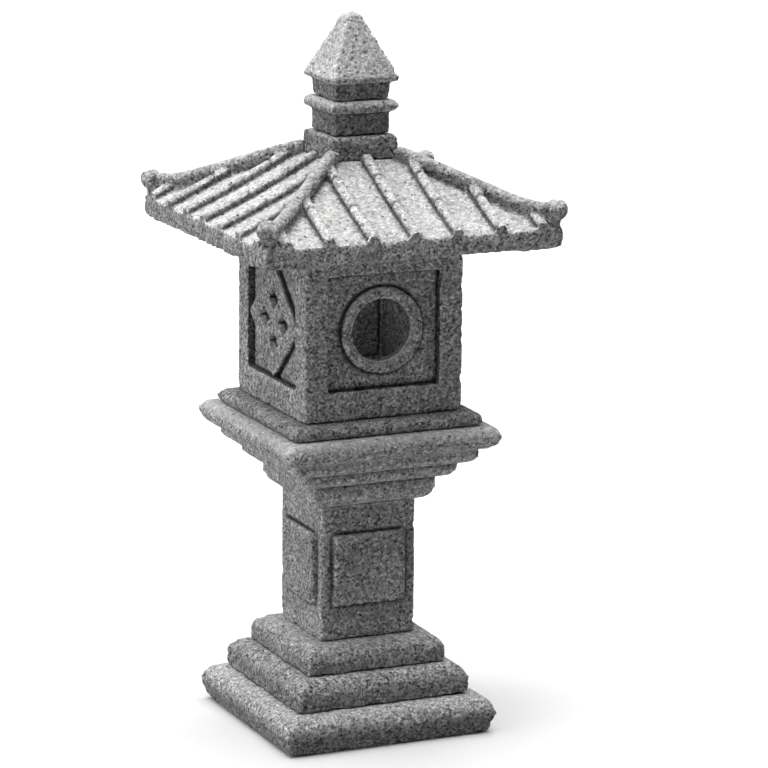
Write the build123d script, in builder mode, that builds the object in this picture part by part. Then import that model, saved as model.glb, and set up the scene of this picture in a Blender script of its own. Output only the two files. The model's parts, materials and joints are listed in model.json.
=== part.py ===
"""Stone garden lantern of dry-stacked blocks: foot, post, platform, firebox, tiled roof and finial.

Millimetres, +Z up, +Y to the back. The origin is the centre of the underside of the base slab.
"""
import os
from math import cos, radians, sin, tan

from build123d import *

os.makedirs("parts", exist_ok=True)

# ---- driving dimensions -------------------------------------------------------------------
TOTAL_HEIGHT = 909.0
PAD = 1.0  # thickness of the setting pads, so the height of every dry joint

BASE_SLAB_TOP = 48.0
MIDDLE_STEP_TOP = 86.5
TOP_STEP_TOP = 121.5
POST_TOP = 296.0
CORBEL_TOP = 369.0
PLATFORM_TOP = 398.0
PLINTH_TOP = 415.0
FIREBOX_TOP = 631.0
ROOF_SEAT = 728.0
FINIAL_BASE_TOP = 757.5
COLLAR_TOP = 801.0

# half widths of the square stones
BASE_FOOT = 135.5
BASE_NOSE = 144.5
MIDDLE_STEP_HALF = 118.0
TOP_STEP_HALF = 94.5
POST_HALF = 64.5
PLATFORM_HALF = 147.0
PLINTH_HALF = 128.5
FIREBOX_HALF = 107.0
EAVE_HALF = 198.5
FINIAL_HALF = 45.0
BLOCK_REACH = 220.0  # clear of every stone, for prisms that are trimmed to size afterwards

# foot: where the upright sides end, and the roundings above them as arcs of (reach, height)
BASE_NOSE_HEIGHT = 24.0
BASE_SHOULDER = [(141.5, 36.5), (131.0, 45.3)]
BASE_CROWN = [(125.0, 47.3), (118.0, BASE_SLAB_TOP)]
MIDDLE_STEP_SIDE = 69.0
MIDDLE_STEP_ROUNDING = [(111.5, 80.5), (98.0, MIDDLE_STEP_TOP)]
TOP_STEP_SIDE = 104.0
TOP_STEP_ROUNDING = [(88.5, 115.7), (75.5, TOP_STEP_TOP)]

# post
POST_ARRIS = 4.0
PLAQUE_HALF = 48.5
PLAQUE_BOTTOM = 167.0
PLAQUE_TOP = 259.0
PLAQUE_RELIEF = 6.5
PLAQUE_CORNER = 4.0
PLAQUE_ARRIS = 3.0
TENON_HALF = 22.0
TENON_LENGTH = 20.0
MORTISE_PLAY = 1.0
MORTISE_DEPTH = 22.0

# corbel: three steps, each rounded below; the bulge is a point on every rounding, as parts of
# its width and height
CORBEL_REACH = (83.0, 104.0, 125.5)
CORBEL_LEVELS = (POST_TOP + PAD, 328.5, 348.5)
CORBEL_ROUNDING = (15.0, 8.0, 8.5)
CORBEL_BULGE = (0.62, 0.3)

# platform slab and plinth: undersides and edge roundings as arcs of (reach, height)
PLATFORM_UNDERSIDE = 134.0
PLATFORM_LOWER_ROUNDING = [(142.5, 375.5), (PLATFORM_HALF, 385.0)]
PLATFORM_UPPER_ROUNDING = [(144.0, 393.5), (136.5, PLATFORM_TOP)]
PLINTH_UNDERSIDE = 125.5
PLINTH_FOOT = 402.0
PLINTH_SIDE = 407.5
PLINTH_ROUNDING = [(124.8, 412.6), (119.0, PLINTH_TOP)]

# firebox
FIREBOX_ARRIS = 3.0
WALL = 26.0
WINDOW_HALF = 75.5  # the frame's openings, seen from outside
WINDOW_BOTTOM = 453.0
WINDOW_TOP = 597.0
RECESS = 10.0  # from the frame's face to the panels' face
PANEL_HALF = 79.0
PANEL_LIP = 4.0  # how far the panel reaches behind the frame, above and below
PANEL_PLAY = 0.5
PANEL_THICK = WALL - RECESS
ROUND_WINDOW_R = 37.8
RING_R = 56.0
RING_RELIEF = 6.5
RING_ARRIS = 4.0
LATTICE_HALF_WIDTH = 75.0
LATTICE_HALF_HEIGHT = 71.5
LATTICE_RELIEF = 7.0
LATTICE_PITCH = 0.385  # distance of each opening from the middle, as a part of the half diagonal
LATTICE_OPENING = 0.205
BOSS_HALF = 76.0
BOSS_HEIGHT = 9.0

# roof
EAVE_TOP = 656.0
SLOPE_TOP = 729.0
SLOPE_TOP_HALF = 44.0
SLOPE_SAG = 2.5
SAG_DIRECTION = (0.43, 0.9)  # at right angles to the slope
RIB_R = 8.5
RIB_LIFT = 2.0
RIB_PITCH = 56.5
RIBS_EACH_WAY = 3
TILE_END_R = 9.5
TILE_END_LENGTH = 5.0
TILE_END_PROUD = 1.0
HIP_R = 9.0
HIP_LINE = ((38.0, 737.5), (92.0, 713.5), (148.0, 687.0), (171.0, 679.0), (189.5, 678.5))
HIP_CURB_HALF = 7.5
HIP_CURB_ROOT = 5.0  # how deep the curb and the neck start inside the roof
HIP_BALL_R = 13.5
HIP_BALL_PLACE = 191.5
HIP_BALL_HEIGHT = 678.5
HIP_NECK_R = 9.5
HIP_NECK_INSET = 1.0  # keeps the necks clear of the sides of the eaves
CORNER_LIFT = 5.0
CORNER_LIFT_LENGTH = 42.0
SOFFIT_SEAT = 112.0  # half width of the level part of the soffit
EAVE_DROP = 3.5  # from the soffit's seat on the firebox to the lip of the eaves
FINIAL_SEAT_PLAY = 0.8

# finial
BASE_SPREAD = 1.0  # how far the finial's base widens towards its foot
BASE_SIDE = 752.5
BASE_ROUNDING = [(44.0, 756.0), (40.5, FINIAL_BASE_TOP)]
NECK_HALF = 36.5
NECK_FOOT = 37.5
NECK_WAIST = 12.0  # height of the narrowest place of a neck above its foot
NECK_TOP = 38.0
RING_NOSE = 45.7
RING_TOP = 39.5
RING_HEIGHT = 15.0
CAP_SLOPE = 64.0
CAP_TIP_R = 11.5
CAP_REACH = 45.5
CAP_LIP = 6.0
CAP_LIP_UNDERSIDE = 44.0
CAP_LIP_ARRIS = 2.0

# metal
DOWEL_R = 6.0
DOWEL_PLAY = 0.3
DOWEL_END_PLAY = 1.0
PIN_ARRIS = 1.0
BASE_DOWEL_PLACE = 42.0
PLATFORM_DOWEL_PLACE = 45.0
BASE_DOWEL_LOW = 22.0
BASE_DOWEL_HIGH = 108.0
PLATFORM_DOWEL_LOW = 344.0
PLATFORM_DOWEL_HIGH = 408.0
PIN_LOW = 698.0
PIN_HIGH = 838.0

# tea light
DISH_R = 32.0
DISH_RIM = 3.0
DISH_ARRIS = 1.0
DISH_THICK = 5.0
DISH_RING_R = 23.0
DISH_RING_HEIGHT = 2.5
DISH_FLOOR = 3.0
CUP_PLAY = 1.0
CUP_R = 19.5
CUP_HEIGHT = 16.0
CUP_WALL = 0.6
WAX_HEIGHT = 12.5
WICK_R = 1.0
WICK_HEIGHT = 8.0
CLIP_R = 6.0
CLIP_THICK = 0.5
CLIP_NECK_R = 1.8
CLIP_HEIGHT = 3.5

TOLERANCE = 0.1
SIDES = (0, 90, 180, 270)


def half_outline(start, *steps):
    """Closed sketch of one edge profile and its mirror image, as (reach, height) points.

    A step is the next point of a straight line, or a list of a point on the way and the end of
    an arc.
    """
    with BuildSketch(mode=Mode.PRIVATE) as outline:
        with BuildLine():
            here = start
            for step in steps:
                if isinstance(step, list):
                    there = step[-1]
                    ThreePointArc(here, *step)
                else:
                    there = step
                    Line(here, there)
                here = there
            Line(here, start)
        make_face()
        mirror(about=Plane.YZ)
    return outline.sketch


def mitred(outline):
    """Adds a square block whose four sides all follow outline, with mitred corners."""
    with BuildSketch(Plane.XZ) as front_view:
        add(outline)
    extrude(front_view.sketch, amount=BLOCK_REACH, both=True)
    with BuildSketch(Plane.YZ) as side_view:
        add(outline)
    extrude(side_view.sketch, amount=BLOCK_REACH, both=True, mode=Mode.INTERSECT)


def square_block(half, bottom, top, mode=Mode.ADD):
    """Adds or cuts a square prism about the axis."""
    with BuildSketch(Plane.XY.offset(bottom)) as plan:
        Rectangle(2 * half, 2 * half)
    extrude(plan.sketch, amount=top - bottom, mode=mode)


def corner_rods(radius, place, bottom, top, mode=Mode.ADD):
    """Adds or cuts four upright rods on the diagonals."""
    with BuildSketch(Plane.XY.offset(bottom)) as plan:
        with GridLocations(2 * place, 2 * place, 2, 2):
            Circle(radius)
    extrude(plan.sketch, amount=top - bottom, mode=mode)


def centre_rod(radius, bottom, top, mode=Mode.ADD):
    """Adds or cuts one upright rod on the axis."""
    with BuildSketch(Plane.XY.offset(bottom)) as plan:
        Circle(radius)
    extrude(plan.sketch, amount=top - bottom, mode=mode)


def side_plane(reach, turn):
    """Upright plane facing outwards at reach from the axis; turn 0 faces the front, 90 the right."""
    outwards = Vector(0, -1, 0).rotate(Axis.Z, turn)
    along = Vector(1, 0, 0).rotate(Axis.Z, turn)
    return Plane(origin=outwards * reach, x_dir=along, z_dir=outwards)


def finish(builder, label):
    """Names a finished piece and writes its STEP file."""
    builder.part.label = label
    export_step(builder.part, f"parts/{label}.step")


# ---- foot ---------------------------------------------------------------------------------
with BuildPart() as base_slab:
    mitred(
        half_outline(
            (0, 0),
            (BASE_FOOT, 0),
            (BASE_NOSE, BASE_NOSE_HEIGHT),
            BASE_SHOULDER,
            BASE_CROWN,
            (0, BASE_SLAB_TOP),
        )
    )
    corner_rods(DOWEL_R + DOWEL_PLAY, BASE_DOWEL_PLACE, BASE_DOWEL_LOW, BASE_SLAB_TOP, Mode.SUBTRACT)
finish(base_slab, "base_slab")

with BuildPart() as middle_step:
    bottom = BASE_SLAB_TOP + PAD
    mitred(
        half_outline(
            (0, bottom),
            (MIDDLE_STEP_HALF, bottom),
            (MIDDLE_STEP_HALF, MIDDLE_STEP_SIDE),
            MIDDLE_STEP_ROUNDING,
            (0, MIDDLE_STEP_TOP),
        )
    )
    corner_rods(DOWEL_R + DOWEL_PLAY, BASE_DOWEL_PLACE, bottom, MIDDLE_STEP_TOP, Mode.SUBTRACT)
finish(middle_step, "middle_step")

with BuildPart() as top_step:
    bottom = MIDDLE_STEP_TOP + PAD
    mitred(
        half_outline(
            (0, bottom),
            (TOP_STEP_HALF, bottom),
            (TOP_STEP_HALF, TOP_STEP_SIDE),
            TOP_STEP_ROUNDING,
            (0, TOP_STEP_TOP),
        )
    )
    dowel_hole_top = BASE_DOWEL_HIGH + DOWEL_END_PLAY
    corner_rods(DOWEL_R + DOWEL_PLAY, BASE_DOWEL_PLACE, bottom, dowel_hole_top, Mode.SUBTRACT)
    square_block(
        TENON_HALF + MORTISE_PLAY, TOP_STEP_TOP - MORTISE_DEPTH, TOP_STEP_TOP, Mode.SUBTRACT
    )
finish(top_step, "top_step")

with BuildPart() as base_dowels:
    corner_rods(DOWEL_R, BASE_DOWEL_PLACE, BASE_DOWEL_LOW, BASE_DOWEL_HIGH)
finish(base_dowels, "base_dowels")

# ---- post ---------------------------------------------------------------------------------
with BuildPart() as post:
    post_bottom = TOP_STEP_TOP + PAD
    square_block(POST_HALF, post_bottom, POST_TOP)
    fillet(post.edges().filter_by(Axis.Z), POST_ARRIS)
    for turn in SIDES:
        with BuildSketch(side_plane(POST_HALF, turn)):
            with Locations((0, (PLAQUE_BOTTOM + PLAQUE_TOP) / 2)):
                RectangleRounded(2 * PLAQUE_HALF, PLAQUE_TOP - PLAQUE_BOTTOM, PLAQUE_CORNER)
        extrude(amount=PLAQUE_RELIEF)
    plaque_reach = POST_HALF + PLAQUE_RELIEF - TOLERANCE
    plaque_faces = post.faces().filter_by(
        lambda face: max(abs(face.center().X), abs(face.center().Y)) > plaque_reach
    )
    fillet(plaque_faces.edges(), PLAQUE_ARRIS)
    square_block(TENON_HALF, TOP_STEP_TOP - TENON_LENGTH, post_bottom)
    square_block(TENON_HALF, POST_TOP, POST_TOP + PAD + TENON_LENGTH)
finish(post, "post")

# ---- platform -----------------------------------------------------------------------------
with BuildPart() as corbel:
    inner = POST_HALF + MORTISE_PLAY
    steps = [(inner, CORBEL_LEVELS[0])]
    ledges = CORBEL_LEVELS[1:] + (CORBEL_TOP,)
    out, up = CORBEL_BULGE
    for reach, level, rounding, ledge in zip(CORBEL_REACH, CORBEL_LEVELS, CORBEL_ROUNDING, ledges):
        on_the_way = (inner + out * (reach - inner), level + up * rounding)
        steps.append([on_the_way, (reach, level + rounding)])
        steps.append((reach, ledge))
        inner = reach
    bottom = CORBEL_LEVELS[0]
    mitred(half_outline((0, bottom), *steps, (0, CORBEL_TOP)))
    square_block(TENON_HALF + MORTISE_PLAY, bottom, bottom + MORTISE_DEPTH, Mode.SUBTRACT)
    corner_rods(
        DOWEL_R + DOWEL_PLAY, PLATFORM_DOWEL_PLACE, PLATFORM_DOWEL_LOW, CORBEL_TOP, Mode.SUBTRACT
    )
finish(corbel, "corbel")

with BuildPart() as platform_slab:
    bottom = CORBEL_TOP + PAD
    mitred(
        half_outline(
            (0, bottom),
            (PLATFORM_UNDERSIDE, bottom),
            PLATFORM_LOWER_ROUNDING,
            PLATFORM_UPPER_ROUNDING,
            (0, PLATFORM_TOP),
        )
    )
    corner_rods(DOWEL_R + DOWEL_PLAY, PLATFORM_DOWEL_PLACE, bottom, PLATFORM_TOP, Mode.SUBTRACT)
finish(platform_slab, "platform_slab")

with BuildPart() as firebox_plinth:
    bottom = PLATFORM_TOP + PAD
    mitred(
        half_outline(
            (0, bottom),
            (PLINTH_UNDERSIDE, bottom),
            (PLINTH_HALF, PLINTH_FOOT),
            (PLINTH_HALF, PLINTH_SIDE),
            PLINTH_ROUNDING,
            (0, PLINTH_TOP),
        )
    )
    square_block(BOSS_HALF, PLINTH_TOP, PLINTH_TOP + BOSS_HEIGHT)
    dowel_hole_top = PLATFORM_DOWEL_HIGH + DOWEL_END_PLAY
    corner_rods(DOWEL_R + DOWEL_PLAY, PLATFORM_DOWEL_PLACE, bottom, dowel_hole_top, Mode.SUBTRACT)
finish(firebox_plinth, "firebox_plinth")

with BuildPart() as platform_dowels:
    corner_rods(DOWEL_R, PLATFORM_DOWEL_PLACE, PLATFORM_DOWEL_LOW, PLATFORM_DOWEL_HIGH)
finish(platform_dowels, "platform_dowels")

# ---- firebox ------------------------------------------------------------------------------
WINDOW_MIDDLE = (WINDOW_BOTTOM + WINDOW_TOP) / 2
WINDOW_HEIGHT = WINDOW_TOP - WINDOW_BOTTOM

with BuildPart() as firebox_frame:
    square_block(FIREBOX_HALF, PLINTH_TOP + PAD, FIREBOX_TOP)
    fillet(firebox_frame.edges().filter_by(Axis.Z), FIREBOX_ARRIS)
    square_block(FIREBOX_HALF - WALL, PLINTH_TOP, FIREBOX_TOP, Mode.SUBTRACT)
    for turn in SIDES:
        outside = side_plane(FIREBOX_HALF, turn)
        with BuildSketch(outside):
            with Locations((0, WINDOW_MIDDLE)):
                Rectangle(2 * WINDOW_HALF, WINDOW_HEIGHT)
        extrude(amount=-WALL, mode=Mode.SUBTRACT)
        with BuildSketch(outside.offset(-RECESS)):
            with Locations((0, WINDOW_MIDDLE)):
                Rectangle(2 * (PANEL_HALF + PANEL_PLAY), WINDOW_HEIGHT + 2 * PANEL_LIP)
        extrude(amount=-PANEL_THICK, mode=Mode.SUBTRACT)
finish(firebox_frame, "firebox_frame")


def panel_blank(face_plane):
    """Adds the plain plate that every firebox panel starts from, resting in its rebate."""
    with BuildSketch(face_plane) as plate:
        with Locations((0, WINDOW_MIDDLE - PANEL_PLAY / 2)):
            Rectangle(2 * PANEL_HALF, WINDOW_HEIGHT + 2 * PANEL_LIP - PANEL_PLAY)
    extrude(plate.sketch, amount=-PANEL_THICK)


def window_panel(turn):
    """Plate with a round window inside a raised ring, turned to its side of the firebox."""
    face_plane = side_plane(FIREBOX_HALF - RECESS, turn)
    with BuildPart() as panel:
        panel_blank(face_plane)
        with BuildSketch(face_plane):
            with Locations((0, WINDOW_MIDDLE)):
                Circle(RING_R)
        extrude(amount=RING_RELIEF)
        with BuildSketch(face_plane.offset(RING_RELIEF)):
            with Locations((0, WINDOW_MIDDLE)):
                Circle(ROUND_WINDOW_R)
        extrude(amount=-RING_RELIEF - PANEL_THICK, mode=Mode.SUBTRACT)
        ring_edges = panel.edges().filter_by(GeomType.CIRCLE).filter_by(
            lambda edge: abs(face_plane.to_local_coords(edge.center()).Z - RING_RELIEF) < TOLERANCE
        )
        fillet(ring_edges, RING_ARRIS)
    return panel


def lattice_panel(turn):
    """Plate with a raised diamond pierced by four diamond openings, turned to its side."""
    face_plane = side_plane(FIREBOX_HALF - RECESS, turn)

    def diamond(scale):
        Polygon(
            (-scale * LATTICE_HALF_WIDTH, 0),
            (0, -scale * LATTICE_HALF_HEIGHT),
            (scale * LATTICE_HALF_WIDTH, 0),
            (0, scale * LATTICE_HALF_HEIGHT),
            align=None,
        )

    with BuildPart() as panel:
        panel_blank(face_plane)
        with BuildSketch(face_plane):
            with Locations((0, WINDOW_MIDDLE)):
                diamond(1)
        extrude(amount=LATTICE_RELIEF)
        across = LATTICE_PITCH * LATTICE_HALF_WIDTH
        up = LATTICE_PITCH * LATTICE_HALF_HEIGHT
        with BuildSketch(face_plane.offset(LATTICE_RELIEF)):
            with Locations(
                (across, WINDOW_MIDDLE),
                (-across, WINDOW_MIDDLE),
                (0, WINDOW_MIDDLE + up),
                (0, WINDOW_MIDDLE - up),
            ):
                diamond(LATTICE_OPENING)
        extrude(amount=-LATTICE_RELIEF - PANEL_THICK, mode=Mode.SUBTRACT)
    return panel


front_window_panel = window_panel(0)
finish(front_window_panel, "front_window_panel")
back_window_panel = window_panel(180)
finish(back_window_panel, "back_window_panel")
left_lattice_panel = lattice_panel(270)
finish(left_lattice_panel, "left_lattice_panel")
right_lattice_panel = lattice_panel(90)
finish(right_lattice_panel, "right_lattice_panel")

# ---- roof ---------------------------------------------------------------------------------
SOFFIT = FIREBOX_TOP + PAD
EAVE_BOTTOM = SOFFIT - EAVE_DROP
DIAGONAL = 2**0.5
SLOPE_MIDDLE = (
    (EAVE_HALF + SLOPE_TOP_HALF) / 2 - SLOPE_SAG * SAG_DIRECTION[0],
    (EAVE_TOP + SLOPE_TOP) / 2 - SLOPE_SAG * SAG_DIRECTION[1],
)


def slope_height(reach):
    """Height of the tiled slope at a distance from the axis, along its chord."""
    return SLOPE_TOP + (EAVE_TOP - SLOPE_TOP) * (reach - SLOPE_TOP_HALF) / (EAVE_HALF - SLOPE_TOP_HALF)


# the ribs and the hip ridge of the front side, turned to the other sides below
with BuildPart() as tile_work:
    for number in range(-RIBS_EACH_WAY, RIBS_EACH_WAY + 1):
        across = number * RIB_PITCH
        rib_end = max(abs(across) - RIB_R / 2, SLOPE_TOP_HALF)
        sag = SLOPE_SAG if number in (-1, 0, 1) else SLOPE_SAG / 2
        reach_middle = (EAVE_HALF + rib_end) / 2
        with BuildLine() as rib_path:
            ThreePointArc(
                (across, -EAVE_HALF, EAVE_TOP + RIB_LIFT),
                (across, -reach_middle, slope_height(reach_middle) + RIB_LIFT - sag),
                (across, -rib_end, slope_height(rib_end) + RIB_LIFT),
            )
        with BuildSketch(Plane(origin=rib_path.line @ 0, z_dir=rib_path.line % 0)):
            Circle(RIB_R)
        sweep(path=rib_path.line)
        with BuildSketch(Plane.XZ.offset(EAVE_HALF + TILE_END_PROUD - TILE_END_LENGTH)):
            with Locations((across, EAVE_TOP)):
                Circle(TILE_END_R)
        extrude(amount=TILE_END_LENGTH)
    with BuildLine() as hip_path:
        Spline(*[(reach, -reach, height) for reach, height in HIP_LINE])
    with BuildSketch(Plane(origin=hip_path.line @ 0, z_dir=hip_path.line % 0)):
        Circle(HIP_R)
    sweep(path=hip_path.line)
    with BuildSketch(Plane(origin=(0, 0, 0), x_dir=(1, -1, 0), z_dir=(-1, -1, 0))):
        with BuildLine():
            crest = Spline(*[(reach * DIAGONAL, height) for reach, height in HIP_LINE])
            Polyline(
                crest @ 1, (HIP_LINE[-1][0] * DIAGONAL, EAVE_TOP - HIP_CURB_ROOT), crest @ 0
            )
        make_face()
    extrude(amount=HIP_CURB_HALF, both=True)
    with Locations((HIP_BALL_PLACE, -HIP_BALL_PLACE, HIP_BALL_HEIGHT)):
        Sphere(HIP_BALL_R)
    neck_place = EAVE_HALF - HIP_NECK_R - HIP_NECK_INSET
    with BuildSketch(Plane.XY.offset(EAVE_TOP - HIP_CURB_ROOT)):
        with Locations((neck_place, -neck_place)):
            Circle(HIP_NECK_R)
    extrude(amount=HIP_BALL_HEIGHT - EAVE_TOP + HIP_CURB_ROOT)

with BuildPart() as roof:
    mitred(
        half_outline(
            (0, SOFFIT),
            (SOFFIT_SEAT, SOFFIT),
            (EAVE_HALF, EAVE_BOTTOM),
            (EAVE_HALF, EAVE_TOP),
            [SLOPE_MIDDLE, (SLOPE_TOP_HALF, SLOPE_TOP)],
            (0, SLOPE_TOP),
        )
    )
    for turn in SIDES:
        add(tile_work.part, rotation=(0, 0, turn))
    # the soffit rises a little towards each corner of the eaves
    lift_start = EAVE_HALF * DIAGONAL - CORNER_LIFT_LENGTH
    for turn in SIDES:
        along = Vector(1, 1, 0).rotate(Axis.Z, turn)
        outwards = Vector(1, -1, 0).rotate(Axis.Z, turn)
        with BuildSketch(Plane(origin=(0, 0, EAVE_BOTTOM), x_dir=outwards, z_dir=-along)):
            Polygon(
                (lift_start, 0),
                (lift_start + 2 * CORNER_LIFT_LENGTH, 0),
                (lift_start + 2 * CORNER_LIFT_LENGTH, 2 * CORNER_LIFT),
                align=None,
            )
        extrude(amount=2 * CORNER_LIFT_LENGTH, both=True, mode=Mode.SUBTRACT)
    square_block(BOSS_HALF, SOFFIT - BOSS_HEIGHT, SOFFIT)
    seat_half = FINIAL_HALF + BASE_SPREAD + FINIAL_SEAT_PLAY
    square_block(seat_half, ROOF_SEAT, FINIAL_BASE_TOP, Mode.SUBTRACT)
    centre_rod(DOWEL_R + DOWEL_PLAY, PIN_LOW - DOWEL_END_PLAY, ROOF_SEAT, Mode.SUBTRACT)
finish(roof, "roof")

# ---- finial -------------------------------------------------------------------------------
with BuildPart() as finial_base:
    bottom = ROOF_SEAT + PAD
    mitred(
        half_outline(
            (0, bottom),
            (FINIAL_HALF + BASE_SPREAD, bottom),
            (FINIAL_HALF, BASE_SIDE),
            BASE_ROUNDING,
            (0, FINIAL_BASE_TOP),
        )
    )
    centre_rod(DOWEL_R + DOWEL_PLAY, bottom, FINIAL_BASE_TOP, Mode.SUBTRACT)
finish(finial_base, "finial_base")

with BuildPart() as finial_collar:
    bottom = FINIAL_BASE_TOP + PAD
    ring_bottom = COLLAR_TOP - RING_HEIGHT
    ring_nose = (RING_NOSE, (ring_bottom + COLLAR_TOP) / 2)
    mitred(
        half_outline(
            (0, bottom),
            (NECK_FOOT, bottom),
            [(NECK_HALF, bottom + NECK_WAIST), (NECK_TOP, ring_bottom)],
            [ring_nose, (RING_TOP, COLLAR_TOP)],
            (0, COLLAR_TOP),
        )
    )
    centre_rod(DOWEL_R + DOWEL_PLAY, bottom, COLLAR_TOP, Mode.SUBTRACT)
finish(finial_collar, "finial_collar")

with BuildPart() as finial_cap:
    bottom = COLLAR_TOP + PAD
    tip_centre = TOTAL_HEIGHT - CAP_TIP_R
    lean = radians(CAP_SLOPE)
    shoulder = (CAP_TIP_R * sin(lean), tip_centre + CAP_TIP_R * cos(lean))
    tip_arc_middle = (CAP_TIP_R * sin(lean / 2), tip_centre + CAP_TIP_R * cos(lean / 2))
    rim_height = tip_centre + CAP_TIP_R / cos(lean) - CAP_REACH * tan(lean)
    mitred(
        half_outline(
            (0, bottom),
            (NECK_FOOT, bottom),
            [(NECK_HALF, bottom + NECK_WAIST), (NECK_TOP, rim_height - CAP_LIP - CAP_LIP_ARRIS)],
            (CAP_LIP_UNDERSIDE, rim_height - CAP_LIP),
            (CAP_REACH, rim_height - CAP_LIP_ARRIS),
            (CAP_REACH, rim_height),
            shoulder,
            [tip_arc_middle, (0, TOTAL_HEIGHT)],
        )
    )
    centre_rod(DOWEL_R + DOWEL_PLAY, bottom, PIN_HIGH + DOWEL_END_PLAY, Mode.SUBTRACT)
finish(finial_cap, "finial_cap")

with BuildPart() as finial_pin:
    centre_rod(DOWEL_R, PIN_LOW, PIN_HIGH)
    chamfer(finial_pin.edges().filter_by(GeomType.CIRCLE), PIN_ARRIS)
finish(finial_pin, "finial_pin")

# ---- setting pads in the dry joints -------------------------------------------------------
# name: top of the stone below, distance of the pads from the middle, side of a pad
PAD_JOINTS = {
    "pads_under_middle_step": (BASE_SLAB_TOP, 90.0, 26.0),
    "pads_under_top_step": (MIDDLE_STEP_TOP, 68.0, 24.0),
    "pads_under_post": (TOP_STEP_TOP, 45.0, 18.0),
    "pads_under_corbel": (POST_TOP, 45.0, 18.0),
    "pads_under_platform": (CORBEL_TOP, 95.0, 26.0),
    "pads_under_plinth": (PLATFORM_TOP, 95.0, 26.0),
    "pads_under_firebox": (PLINTH_TOP, 92.0, 20.0),
    "pads_under_roof": (FIREBOX_TOP, 92.0, 20.0),
    "pads_under_finial": (ROOF_SEAT, 27.0, 18.0),
    "pads_under_collar": (FINIAL_BASE_TOP, 22.0, 16.0),
    "pads_under_cap": (COLLAR_TOP, 22.0, 16.0),
}
for joint, (level, place, side) in PAD_JOINTS.items():
    with BuildPart() as pads:
        with BuildSketch(Plane.XY.offset(level)):
            with GridLocations(2 * place, 2 * place, 2, 2):
                Rectangle(side, side)
        extrude(amount=PAD)
    finish(pads, joint)

# ---- tea light ----------------------------------------------------------------------------
HEARTH = PLINTH_TOP + BOSS_HEIGHT
DISH_SEAT = HEARTH + DISH_FLOOR

with BuildPart() as candle_dish:
    centre_rod(DISH_R, HEARTH, HEARTH + DISH_THICK)
    centre_rod(DISH_R - DISH_RIM, DISH_SEAT, HEARTH + DISH_THICK, Mode.SUBTRACT)
    with BuildSketch(Plane.XY.offset(DISH_SEAT)):
        Circle(DISH_RING_R)
        Circle(CUP_R + CUP_PLAY, mode=Mode.SUBTRACT)
    extrude(amount=DISH_RING_HEIGHT)
    chamfer(candle_dish.edges().filter_by(GeomType.CIRCLE).group_by(Axis.Z)[0], DISH_ARRIS)
finish(candle_dish, "candle_dish")

with BuildPart() as tealight_cup:
    centre_rod(CUP_R, DISH_SEAT, DISH_SEAT + CUP_HEIGHT)
    centre_rod(CUP_R - CUP_WALL, DISH_SEAT + CUP_WALL, DISH_SEAT + CUP_HEIGHT, Mode.SUBTRACT)
finish(tealight_cup, "tealight_cup")

CUP_FLOOR = DISH_SEAT + CUP_WALL
WAX_TOP = CUP_FLOOR + WAX_HEIGHT

with BuildPart() as wick_sustainer:
    centre_rod(CLIP_R, CUP_FLOOR, CUP_FLOOR + CLIP_THICK)
    centre_rod(CLIP_NECK_R, CUP_FLOOR, CUP_FLOOR + CLIP_HEIGHT)
    centre_rod(WICK_R, CUP_FLOOR + CLIP_THICK, CUP_FLOOR + CLIP_HEIGHT, Mode.SUBTRACT)
finish(wick_sustainer, "wick_sustainer")

with BuildPart() as tealight_wick:
    centre_rod(WICK_R, CUP_FLOOR + CLIP_THICK, WAX_TOP + WICK_HEIGHT)
finish(tealight_wick, "tealight_wick")

with BuildPart() as tealight_wax:
    centre_rod(CUP_R - CUP_WALL, CUP_FLOOR, WAX_TOP)
    centre_rod(CLIP_R, CUP_FLOOR, CUP_FLOOR + CLIP_THICK, Mode.SUBTRACT)
    centre_rod(CLIP_NECK_R, CUP_FLOOR, CUP_FLOOR + CLIP_HEIGHT, Mode.SUBTRACT)
    centre_rod(WICK_R, CUP_FLOOR, WAX_TOP, Mode.SUBTRACT)
finish(tealight_wax, "tealight_wax")
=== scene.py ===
"""Looks for the stone garden lantern: worn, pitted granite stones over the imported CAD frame."""
import json
import math

import bpy
import numpy as np
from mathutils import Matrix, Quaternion, Vector


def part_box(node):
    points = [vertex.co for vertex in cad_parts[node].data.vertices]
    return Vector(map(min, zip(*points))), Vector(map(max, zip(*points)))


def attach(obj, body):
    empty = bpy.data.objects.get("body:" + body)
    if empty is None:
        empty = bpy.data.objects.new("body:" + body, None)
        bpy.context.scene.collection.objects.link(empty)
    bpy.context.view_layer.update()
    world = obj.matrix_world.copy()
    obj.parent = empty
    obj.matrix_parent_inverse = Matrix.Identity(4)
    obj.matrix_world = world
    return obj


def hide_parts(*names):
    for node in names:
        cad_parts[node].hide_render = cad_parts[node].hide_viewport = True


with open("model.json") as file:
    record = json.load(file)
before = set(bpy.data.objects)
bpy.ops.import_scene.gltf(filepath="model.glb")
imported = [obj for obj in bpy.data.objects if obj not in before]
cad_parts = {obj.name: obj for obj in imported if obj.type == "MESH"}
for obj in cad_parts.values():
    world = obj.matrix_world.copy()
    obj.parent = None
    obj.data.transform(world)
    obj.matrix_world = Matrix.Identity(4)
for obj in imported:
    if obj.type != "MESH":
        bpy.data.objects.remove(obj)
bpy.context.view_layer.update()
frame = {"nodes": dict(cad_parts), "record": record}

MM = 0.001

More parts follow.
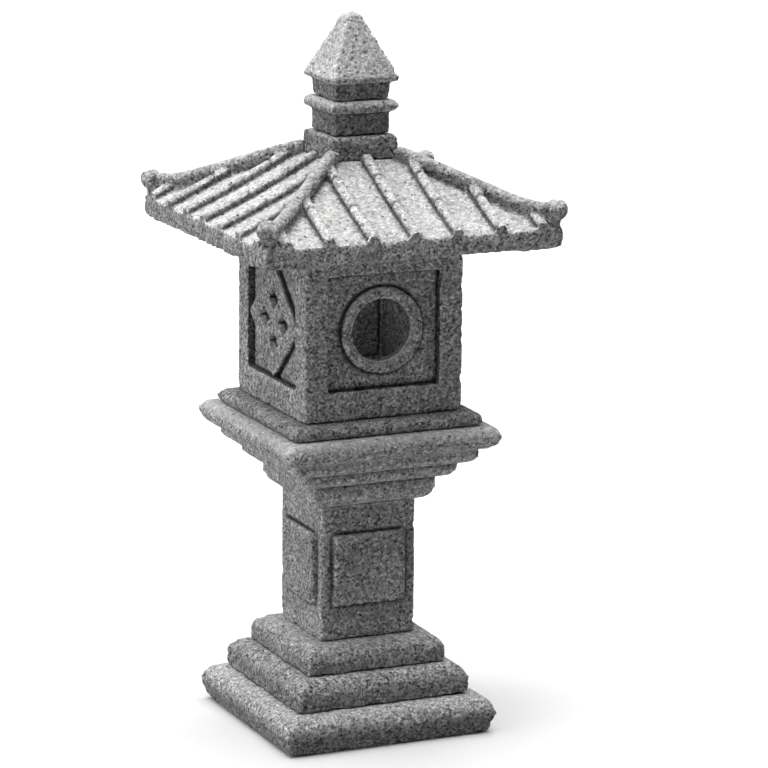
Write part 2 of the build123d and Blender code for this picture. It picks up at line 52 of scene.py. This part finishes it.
# CAD node: the body it rides on, mesh size in mm, passes that round its edges, lightness (the stone's
# own shade, partly also painted light and shade for how lit that stone looks)
STONES = {
    "base_slab": ("foot", 2.0, 3, 0.94),
    "middle_step": ("foot", 1.8, 4, 0.77),
    "top_step": ("foot", 1.7, 4, 0.93),
    "post": ("post", 1.6, 2, 1.21),
    "corbel": ("platform", 1.8, 3, 1.4),
    "platform_slab": ("platform", 2.0, 3, 1.3),
    "firebox_plinth": ("platform", 1.8, 4, 0.85),
    "firebox_frame": ("firebox", 1.8, 3, 1.24),
    "front_window_panel": ("firebox", 1.3, 2, 1.24),
    "back_window_panel": ("firebox", 1.3, 2, 1.24),
    "left_lattice_panel": ("firebox", 1.3, 2, 1.18),
    "right_lattice_panel": ("firebox", 1.3, 2, 1.18),
    "roof": ("roof", 1.7, 2, 1.07),
    "finial_base": ("finial", 1.3, 5, 0.74),
    "finial_collar": ("finial", 1.3, 4, 1.2),
    "finial_cap": ("finial", 1.3, 4, 1.3),
}

# size and height in mm of the unevenness of a worn surface, from the long waves to the grains
UNEVENNESS = ((38.0, 0.9), (13.0, 0.38), (5.0, 0.34), (3.0, 0.26))
# number on a square metre, then the smallest and largest radius and depth in mm
PITS = (4200, (1.5, 3.2), (0.9, 2.4))
CHIPS = (900, (3.0, 7.5), (0.8, 2.4))
CHIPPED_BEND = 0.35
CREVICE_DEPTH = 1.5
CREVICE_WIDTH = 2.6  # mm, how far the search for hollows and edges looks
CREVICE_BEND = (0.1, 0.55)  # how far a hollow lies below its surroundings, in mm, where it gets painted shade
PASSES_PER_SQUARE = 4  # relaxing passes of a search for each square of its width in mesh sizes
FACING_UP_PASSES = 12  # relaxing passes that even out which way the surface faces
PAINTED_TOP_LIGHT = (0.8, 0.5)  # painted top light: lightness of an upright face, and how much lighter a level one is painted

# panels of the firebox: the way each one faces, as an axis and a sign
PANEL_FACINGS = {
    "front_window_panel": (1, -1),
    "back_window_panel": (1, 1),
    "left_lattice_panel": (0, -1),
    "right_lattice_panel": (0, 1),
}
DARK_INSIDE_DEPTH = 8.0  # mm in from a panel's outermost face, where its dark inside (soot and painted shade) begins
# darkness of the soot and painted shade inside the firebox and its openings, and of the painted shade
# in the frame's recesses
SOOT_AND_SHADE = 0.8
# the round window wears wider and its ring thinner: radius, growth and reach of the wear in mm
WINDOW_WEAR = ((37.8, 2.2, 6.0), (56.0, -1.3, 5.0))
REBATE = 3.7  # how far the rim of a panel lies hidden behind the frame
RIM_SHADE_WIDTH = 4.5  # band of painted shade along the rim of a panel, where it meets the frame
RECESS_DEPTH = 1.5  # mm in from the faces of the frame, where its recesses and its inside begin

# necks of the finial, given painted shade under the ring and the cap: how far back they lie, in mm,
# how upright they are, and how dark they get
NECKED = ("finial_collar", "finial_cap")
NECK_SETBACK = (4.0, 6.5)
NECK_SLANT = (0.15, 0.4)
NECK_SHADE = 0.48

# roof: the creases beside the rib tiles and the cross joints of the tiles, out from the middle,
# in mm; the slope runs from its top to its eaves as (distance from the middle, height)
RIB_PITCH = 56.5
RIB_HALF = 8.5
RIBS_EACH_WAY = 3
HIP_HALF = 13.0
CREASE_HALF = 1.15
CREASE_DEPTH = 1.6
JOINT_REACHES = (86.0, 139.0)
JOINT_HALF = 1.9
JOINT_DEPTH = 2.0
SLOPE_SLACK = 6.0  # how far below its chord the slope may sag
EAVES_MARGIN = 2.0
CREASE_SHADE = 0.82
HIP_SHADE = 0.25
ROOF_HOLLOW_SHADE = 0.25  # the painted shade in the roof's hollows is weaker
SLOPE = ((44.0, 729.0), (198.5, 656.0))


# ---- meshes --------------------------------------------------------------------------------
def coordinates(mesh):
    flat = np.empty(len(mesh.vertices) * 3, np.float32)
    mesh.vertices.foreach_get("co", flat)
    return flat.reshape(-1, 3).astype(np.float64)


def normals(mesh):
    flat = np.empty(len(mesh.vertices) * 3, np.float32)
    mesh.vertex_normals.foreach_get("vector", flat)
    return flat.reshape(-1, 3).astype(np.float64)


def edge_ends(mesh):
    flat = np.empty(len(mesh.edges) * 2, np.int32)
    mesh.edges.foreach_get("vertices", flat)
    return flat.reshape(-1, 2)


def place(mesh, points):
    mesh.vertices.foreach_set("co", points.astype(np.float32).ravel())
    mesh.update()


def relaxed(points, ends, passes, share=0.5):
    """The points after each pass has moved every one towards the mean of its neighbours."""
    count = np.bincount(ends.ravel(), minlength=len(points)).clip(1)[:, None]
    for _ in range(passes):
        total = np.zeros_like(points)
        for axis in range(points.shape[1]):
            total[:, axis] = np.bincount(
                ends[:, 0], points[ends[:, 1], axis], len(points)
            ) + np.bincount(ends[:, 1], points[ends[:, 0], axis], len(points))
        points = points + share * (total / count - points)
    return points


def lattice_values(cells, seed):
    """One steady pseudo-random value from -1 to 1 for each whole-numbered cell."""
    x, y, z = (cells[:, axis].astype(np.uint32) for axis in range(3))
    h = x * np.uint32(374761393) + y * np.uint32(668265263) + z * np.uint32(2246822519)
    h += np.uint32(seed * 3266489917 % 2**32)
    h = (h ^ (h >> np.uint32(13))) * np.uint32(1274126177)
    h = (h ^ (h >> np.uint32(16))) * np.uint32(2654435761)
    return (h >> np.uint32(8)).astype(np.float64) / 2**23 - 1


def smooth_noise(points, size, seed):
    """Rolling noise from about -1 to 1, with features of the given size."""
    scaled = points / size + 1000
    cell = np.floor(scaled).astype(np.int64)
    part = scaled - cell
    part = part * part * (3 - 2 * part)
    value = np.zeros(len(points))
    for corner in np.ndindex(2, 2, 2):
        share = np.prod(np.where(corner, part, 1 - part), axis=1)
        value += share * lattice_values(cell + corner, seed)
    return value


def hollow_depths(points, centres, radii, depths, random):
    """How deep each point lies in round hollows about the centres."""
    depth = np.zeros(len(points))
    order = np.argsort(points[:, 0])
    along = points[order, 0]
    for centre in centres:
        radius = random.uniform(*radii) * MM
        deep = random.uniform(*depths) * MM
        first, last = np.searchsorted(along, (centre[0] - radius, centre[0] + radius))
        near = order[first:last]
        away = np.linalg.norm(points[near] - centre, axis=1) / radius
        depth[near] = np.maximum(depth[near], deep * np.clip(1 - away**2, 0, 1))
    return depth


def damage_depths(points, bend, seed):
    """How deep each point lies in the pits of the faces and the chips of the edges."""
    random = np.random.default_rng(seed)
    spans = points.max(0) - points.min(0)
    area = 2 * (spans[0] * spans[1] + spans[1] * spans[2] + spans[2] * spans[0])
    edges = points[bend > CHIPPED_BEND]
    depth = np.zeros(len(points))
    for places, (number, radii, depths) in ((points, PITS), (edges, CHIPS)):
        if len(places):
            centres = places[random.integers(len(places), size=int(area * number))]
            depth = np.maximum(depth, hollow_depths(points, centres, radii, depths, random))
    return depth


def tile_lines(points):
    """Two strengths from 0 to 1: being in a crease beside a rib, and in a cross joint of one."""
    (top_reach, top), (low_reach, low) = SLOPE
    crease = np.zeros(len(points))
    joint = np.zeros(len(points))
    for along, across in ((0, 1), (1, 0)):
        reach = np.abs(points[:, along]) / MM
        side = points[:, across] / MM
        slope = np.interp(reach, (top_reach, low_reach), (top, low))
        rib = np.clip(np.round(side / RIB_PITCH), -RIBS_EACH_WAY, RIBS_EACH_WAY)
        off_rib = np.abs(side - rib * RIB_PITCH)
        on_slope = (points[:, 2] / MM > slope - SLOPE_SLACK) & (np.abs(side) < reach - HIP_HALF)
        on_slope &= reach < low_reach - EAVES_MARGIN
        beside = np.exp(-(((off_rib - RIB_HALF) / CREASE_HALF) ** 2))
        crease = np.maximum(crease, np.where(on_slope, beside, 0))
        for place in JOINT_REACHES:
            at_joint = np.exp(-(((reach - place) / JOINT_HALF) ** 2))
            joint = np.maximum(joint, np.where(on_slope & (off_rib < RIB_HALF), at_joint, 0))
    return crease, joint


def remeshed(node, voxel):
    """A copy of a CAD node's mesh, rebuilt in even quads."""
    mesh = frame["nodes"][node].data.copy()
    piece = bpy.data.objects.new(node + "_worn", mesh)
    bpy.context.scene.collection.objects.link(piece)
    for kind, settings in (
        ("WELD", {"merge_threshold": 0.01 * MM}),
        ("REMESH", {"mode": "VOXEL", "voxel_size": voxel * MM}),
    ):
        modifier = piece.modifiers.new(kind.lower(), kind)
        for name, value in settings.items():
            setattr(modifier, name, value)
    shaped = piece.evaluated_get(bpy.context.evaluated_depsgraph_get())
    piece.data = bpy.data.meshes.new_from_object(shaped)
    piece.modifiers.clear()
    bpy.data.meshes.remove(mesh)
    return piece


def panel_soot_and_shade(node, points):
    """From 0 to 1: soot and painted shade on the inside and in the openings of a panel, and painted
    shade along its rim.
    """
    axis, sign = PANEL_FACINGS[node]
    outwards = sign * points[:, axis] / MM
    depth = outwards.max() - outwards
    # soot and painted shade deep in the panel and its openings
    dark_inside = np.where(depth > DARK_INSIDE_DEPTH, SOOT_AND_SHADE, 0)
    low, high = (np.array(corner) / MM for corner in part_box(node))
    spare = np.minimum(points / MM - low, high - points / MM)
    rim = np.minimum(spare[:, 1 - axis], spare[:, 2]) - REBATE
    return np.maximum(dark_inside, np.clip(1 - rim / RIM_SHADE_WIDTH, 0, 1))


def window_worn(node, points):
    """The points of a window panel, with its round window worn wider and its ring thinner."""
    low, high = (np.array(corner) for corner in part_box(node))
    middle = (low + high) / 2
    out = (points - middle)[:, [0, 2]]
    radius = np.linalg.norm(out, axis=1).clip(MM)
    growth = np.zeros(len(points))
    for place_of_wear, most, reach in WINDOW_WEAR:
        growth += most * MM * np.exp(-(((radius / MM - place_of_wear) / reach) ** 2))
    points[:, [0, 2]] += out * (growth / radius)[:, None]
    return points


def frame_soot_and_shade(points):
    """Soot and painted shade on the inside of the firebox frame, and painted shade in its recesses; 0
    on its faces.
    """
    reach = np.sort(np.abs(points[:, :2]) / MM, axis=1)
    depth = np.abs(points[:, :2]).max() / MM - reach[:, 1]
    return np.where(depth > RECESS_DEPTH, SOOT_AND_SHADE, 0)


def neck_painted_shade(points, facing_up):
    """From 0 to the greatest neck darkness: the painted shade on the upright sides under a lip."""
    reach = np.abs(points[:, :2]).max(1) / MM
    set_back = np.interp(reach.max() - reach, NECK_SETBACK, (0, 1))
    return NECK_SHADE * set_back * np.interp(facing_up, NECK_SLANT, (1, 0))


def weathered(node, seed):
    """A worn stone that stands for a CAD node: rounded edges, uneven faces, pits and chips."""
    body, voxel, passes, lightness = STONES[node]
    piece = remeshed(node, voxel)
    mesh = piece.data
    ends = edge_ends(mesh)
    points = relaxed(coordinates(mesh), ends, passes)
    if node.endswith("window_panel"):
        points = window_worn(node, points)
    place(mesh, points)
    facing = normals(mesh)
    search = round(PASSES_PER_SQUARE * (CREVICE_WIDTH / voxel) ** 2)
    bend = -((relaxed(points, ends, search) - points) * facing).sum(1) / MM
    facing_up = relaxed(facing, ends, FACING_UP_PASSES)[:, 2]
    # painted shade in the hollows and creases, from how far each point lies below its surroundings
    soot_and_painted_shade = np.interp(-bend, CREVICE_BEND, (0, 1))
    if node == "roof":
        soot_and_painted_shade *= ROOF_HOLLOW_SHADE
    depth = damage_depths(points, bend, seed) + CREVICE_DEPTH * MM * soot_and_painted_shade
    if node == "roof":
        crease, joint = tile_lines(points)
        depth += (CREASE_DEPTH * crease + JOINT_DEPTH * joint) * MM
        across = np.abs(np.abs(points[:, 0]) - np.abs(points[:, 1])) / MM
        # painted shade along the hips of the roof
        soot_and_painted_shade = np.maximum(soot_and_painted_shade, np.where(across < HIP_HALF, HIP_SHADE, 0))
        # painted shade in the creases beside the ribs and in the cross joints of the tiles
        soot_and_painted_shade = np.maximum(soot_and_painted_shade, CREASE_SHADE * np.maximum(crease, joint))
    if node in PANEL_FACINGS:
        soot_and_painted_shade = np.maximum(soot_and_painted_shade, panel_soot_and_shade(node, points))
    if node == "firebox_frame":
        soot_and_painted_shade = np.maximum(soot_and_painted_shade, frame_soot_and_shade(points))
    if node in NECKED:
        soot_and_painted_shade = np.maximum(soot_and_painted_shade, neck_painted_shade(points, facing_up))
    for layer, (size, height) in enumerate(UNEVENNESS):
        depth += 0.5 * height * MM * smooth_noise(points, size * MM, 10 * seed + layer)
    points = points - facing * depth[:, None]
    low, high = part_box(node)
    points[:, 2] = points[:, 2].clip(low[2], high[2])
    place(mesh, points)
    upright, more_when_level = PAINTED_TOP_LIGHT
    # painted top light: each stone's lightness, made lighter still on level faces as if lit from
    # above
    tone_with_top_light = lightness * (upright + more_when_level * facing_up.clip(0, 1))
    for name, value in (("worn", bend), ("soot_and_painted_shade", soot_and_painted_shade), ("tone_and_top_light", tone_with_top_light / 2)):
        layer = mesh.attributes.new(name, "FLOAT", "POINT")
        layer.data.foreach_set("value", np.clip(value, 0, 1).astype(np.float32).ravel())
    mesh.polygons.foreach_set("use_smooth", [True] * len(mesh.polygons))
    mesh.materials.clear()
    mesh.materials.append(LOOKS["stone"])
    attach(piece, body)
    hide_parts(node)
    return piece


# ---- materials -----------------------------------------------------------------------------
LOOKS = {}


def material(name, **shader):
    """A material with its principled shader set, and a function that adds nodes to it."""
    made = bpy.data.materials.new(name + "_look")
    made.use_nodes = True
    LOOKS[name] = made
    tree = made.node_tree
    principled = tree.nodes["Principled BSDF"]
    for socket, value in shader.items():
        label = socket.replace("_", " ").title().replace("Ior", "IOR")
        principled.inputs[label].default_value = value

    def add(kind, output=0, sockets=None, **settings):
        node = tree.nodes.new("ShaderNode" + kind)
        for setting, value in settings.items():
            setattr(node, setting, value)
        for socket, value in (sockets or {}).items():
            if isinstance(value, bpy.types.NodeSocket):
                tree.links.new(value, node.inputs[socket])
            else:
                node.inputs[socket].default_value = value
        return node.outputs[output]

    def show(**links):
        for socket, source in links.items():
            tree.links.new(source, principled.inputs[socket.replace("_", " ").title()])

    return add, show


def stone_material():
    add, show = material("stone", roughness=0.92, specular_ior_level=0.25)
    place_in_stone = add("TexCoord", "Object")

    def maths(operation, first, second, clamp=False):
        return add("Math", sockets={0: first, 1: second}, operation=operation, use_clamp=clamp)

    def ramp(source, *stops):
        made = add("ValToRGB", sockets={0: source})
        steps = made.node.color_ramp.elements
        steps.remove(steps[1])
        for number, (position, value) in enumerate(stops):
            step = steps.new(position) if number else steps[0]
            step.position = position
            step.color = (value, value, value, 1)
        return made

    def grains(size, seed):
        where = add("Mapping", sockets={0: place_in_stone, 1: (seed, 0.7 * seed, -seed)})
        cells = add("TexVoronoi", "Color", sockets={"Vector": where, "Scale": 1 / (size * MM)})
        return add("SeparateColor", sockets={0: cells})

    def noise(size, detail, seed):
        where = add("Mapping", sockets={0: place_in_stone, 1: (seed, -seed, 0.3 * seed)})
        return add(
            "TexNoise", sockets={"Vector": where, "Scale": 1 / (size * MM), "Detail": detail}
        )

    coarse = ramp(
        grains(2.9, 1.0), (0, 0.02), (0.16, 0.1), (0.34, 0.34), (0.66, 0.44), (0.84, 0.74), (1, 0.95)
    )
    fine = ramp(grains(1.8, 2.0), (0, 0.03), (0.24, 0.22), (0.7, 0.46), (0.88, 0.82), (1, 0.95))
    grain = maths("ADD", maths("MULTIPLY", coarse, 0.58), maths("MULTIPLY", fine, 0.42))

    # painted top light: level faces and lighter stones get a lighter colour, and their grain is
    # evened out where this painted light is strongest
    tone_and_top_light = maths("MULTIPLY", add("Attribute", "Fac", attribute_name="tone_and_top_light"), 2.0)
    grain_evening = maths("MULTIPLY", maths("SUBTRACT", tone_and_top_light, 1.0), 2.4, True)
    grain_evening = maths("MULTIPLY", grain_evening, 0.6)
    even = maths("MULTIPLY", maths("SUBTRACT", 0.42, grain), grain_evening)
    grain = maths("ADD", grain, even)

    patches = ramp(noise(70, 3, 3.0), (0.3, 0.88), (0.7, 1.1))
    speckle = ramp(noise(7, 2, 4.0), (0.32, 0.84), (0.68, 1.14))
    tone = maths("MULTIPLY", maths("MULTIPLY", grain, patches), speckle)

    where = add("Mapping", sockets={0: place_in_stone, 1: (5.0, 2.0, 1.0)})
    cells = {"Vector": where, "Scale": 1 / (9.5 * MM)}
    spread = add("TexVoronoi", "Distance", sockets=cells)
    chance = add("SeparateColor", sockets={0: add("TexVoronoi", "Color", sockets=cells)})
    reach = maths("MULTIPLY", chance, 0.2)
    pit = add(
        "MapRange",
        sockets={0: maths("SUBTRACT", reach, spread), 1: -0.04, 2: 0.04, 3: 0.0, 4: 1.0},
    )
    tone = maths("MULTIPLY", tone, maths("SUBTRACT", 1.0, maths("MULTIPLY", pit, 0.72)))

    worn = add("Attribute", "Fac", attribute_name="worn")
    soot_and_painted_shade = add("Attribute", "Fac", attribute_name="soot_and_painted_shade")
    # painted top light: lighter colour on level faces, times each stone's lightness
    tone = maths("MULTIPLY", tone, tone_and_top_light)
    tone = maths("MULTIPLY", tone, maths("ADD", 1.0, maths("MULTIPLY", worn, 0.3)))
    # painted shade: hollows, creases, recesses, necks and the roof's creases, joints and hips are
    # darkened, along with soot inside the firebox
    tone = maths("MULTIPLY", tone, maths("SUBTRACT", 1.0, maths("MULTIPLY", soot_and_painted_shade, 0.9), True))
    colour = add("VectorMath", sockets={0: (0.985, 1.0, 0.985), "Scale": tone}, operation="SCALE")

    rise = maths("ADD", maths("MULTIPLY", coarse, 0.5), maths("MULTIPLY", fine, 0.3))
    rise = maths("SUBTRACT", maths("ADD", rise, noise(3.2, 2, 6.0)), pit)
    bump = add("Bump", sockets={"Strength": 1.0, "Distance": 1.3 * MM, "Height": rise})
    show(base_color=colour, normal=bump)


def plain_materials():
    """Materials of the small parts."""
    rubber = dict(roughness=0.8)
    steel = dict(metallic=1.0, roughness=0.34)
    glaze = dict(roughness=0.18, coat_weight=0.4)
    aluminium = dict(metallic=1.0, roughness=0.3)
    wax = dict(roughness=0.42, subsurface_weight=0.15)
    wick = dict(roughness=0.95)
    tinplate = dict(metallic=1.0, roughness=0.38)
    # shader, darker and lighter colour, then size of the mottling and depth of the bumps in mm
    looks = {
        "rubber": (rubber, (0.035, 0.034, 0.033), (0.06, 0.058, 0.055), 4.0, 0.15),
        "steel": (steel, (0.42, 0.42, 0.43), (0.6, 0.6, 0.61), 1.2, 0.03),
        "glaze": (glaze, (0.11, 0.14, 0.12), (0.2, 0.24, 0.2), 6.0, 0.05),
        "aluminium": (aluminium, (0.68, 0.69, 0.7), (0.85, 0.86, 0.87), 2.0, 0.06),
        "wax": (wax, (0.78, 0.75, 0.66), (0.88, 0.86, 0.78), 5.0, 0.08),
        "wick": (wick, (0.5, 0.47, 0.4), (0.75, 0.72, 0.64), 0.5, 0.1),
        "tinplate": (tinplate, (0.5, 0.5, 0.48), (0.7, 0.7, 0.68), 1.5, 0.04),
    }
    for name, (shader, dark, light, size, depth) in looks.items():
        add, show = material(name, **shader)
        where = add("TexCoord", "Object")
        noise = add("TexNoise", sockets={"Vector": where, "Scale": 1 / (size * MM), "Detail": 4.0})
        ramp = add("ValToRGB", sockets={0: noise})
        for step, position, colour in zip(ramp.node.color_ramp.elements, (0.35, 0.65), (dark, light)):
            step.position = position
            step.color = (*colour, 1)
        bump = add("Bump", sockets={"Strength": 0.6, "Distance": depth * MM, "Height": noise})
        show(base_color=ramp, normal=bump)


FINISHES = {
    "rubber": [node for node in frame["nodes"] if node.startswith("pads_")],
    "steel": ["base_dowels", "platform_dowels", "finial_pin"],
    "glaze": ["candle_dish"],
    "aluminium": ["tealight_cup"],
    "wax": ["tealight_wax"],
    "wick": ["tealight_wick"],
    "tinplate": ["wick_sustainer"],
}

stone_material()
plain_materials()
for finish, nodes in FINISHES.items():
    for node in nodes:
        slots = frame["nodes"][node].data.materials
        slots.clear()
        slots.append(LOOKS[finish])
for seed, node in enumerate(STONES):
    weathered(node, seed + 1)


# ---- floor, light and camera ---------------------------------------------------------------
FLOOR_HALF = 30.0
FLOOR_SHADE = 0.86
GROUND_HEIGHT = -0.002
GROUND_SHADE = 0.3
WORLD_STRENGTH = 0.03
SOFTNESS = 60.0  # degrees of sky that each soft light fills
ROOM_FILL = 0.14  # watts
ROOM_FILL_R = 0.03


def floor_plane(name, height, shade):
    """A level plane of one even shade."""
    mesh = bpy.data.meshes.new(name)
    signs = ((-1, -1), (1, -1), (1, 1), (-1, 1))
    corners = [(x * FLOOR_HALF, y * FLOOR_HALF, height) for x, y in signs]
    mesh.from_pydata(corners, [], [(0, 1, 2, 3)])
    plane = bpy.data.objects.new(name, mesh)
    bpy.context.scene.collection.objects.link(plane)
    material(name, base_color=(shade, shade, shade, 1), roughness=0.9)
    mesh.materials.append(LOOKS[name])
    return plane


# the floor is seen but throws no light; the darker ground just below it gives the faint bounce
floor = floor_plane("floor", 0.0, FLOOR_SHADE)
floor.visible_diffuse = False
floor.visible_glossy = False
floor.visible_shadow = False
ground = floor_plane("ground", GROUND_HEIGHT, GROUND_SHADE)
ground.visible_camera = False
ground.visible_shadow = False

world = bpy.data.worlds.new("studio")
world.use_nodes = True
background = world.node_tree.nodes["Background"]
background.inputs["Color"].default_value = (1, 1, 1, 1)
background.inputs["Strength"].default_value = WORLD_STRENGTH
bpy.context.scene.world = world


def soft_sun(name, towards_light, strength):
    """Even light from a wide patch of sky, as a large softbox gives."""
    light = bpy.data.lights.new(name, "SUN")
    light.energy = strength * math.pi
    light.angle = math.radians(SOFTNESS)
    lamp = bpy.data.objects.new(name, light)
    lamp.rotation_mode = "QUATERNION"
    lamp.rotation_quaternion = Vector(towards_light).to_track_quat("Z", "Y")
    bpy.context.scene.collection.objects.link(lamp)


soft_sun("overhead", (0, 0.06, 1), 1.42)
soft_sun("side", (-0.88, 0.06, 0.4), 0.41)

# a very faint fill inside the firebox, so that its room isn't pitch black
openings = frame["record"]["physics"]["openings"]
room = next(opening["box_m"] for opening in openings if opening["name"] == "firebox_room")
fill = bpy.data.lights.new("room_fill", "POINT")
fill.energy = ROOM_FILL
fill.shadow_soft_size = ROOM_FILL_R
room_fill = bpy.data.objects.new("room_fill", fill)
room_fill.location = (Vector(room[0]) + Vector(room[1])) / 2
bpy.context.scene.collection.objects.link(room_fill)


# the camera: angles in degrees, distances in metres, lens in mm
AZIMUTH = -24.5
ELEVATION = 13.06
ROLL = 0.5
DISTANCE = 5.104
TARGET_HEIGHT = 0.4354
SIDE_SHIFT = 0.0443
LENS = 190.0
turn, lift = math.radians(AZIMUTH), math.radians(ELEVATION)
back = Vector((math.sin(turn) * math.cos(lift), -math.cos(turn) * math.cos(lift), math.sin(lift)))
aim = back.to_track_quat("Z", "Y") @ Quaternion((0, 0, 1), math.radians(ROLL))
view = bpy.data.cameras.new("view")
view.lens = LENS
view.sensor_width = 36.0
view.clip_end = 100
camera = bpy.data.objects.new("view", view)
camera.rotation_mode = "QUATERNION"
camera.rotation_quaternion = aim
camera.location = Vector((0, 0, TARGET_HEIGHT)) + back * DISTANCE + aim @ Vector((SIDE_SHIFT, 0, 0))
bpy.context.scene.collection.objects.link(camera)
bpy.context.scene.camera = camera
bpy.context.scene.view_settings.view_transform = "Standard"
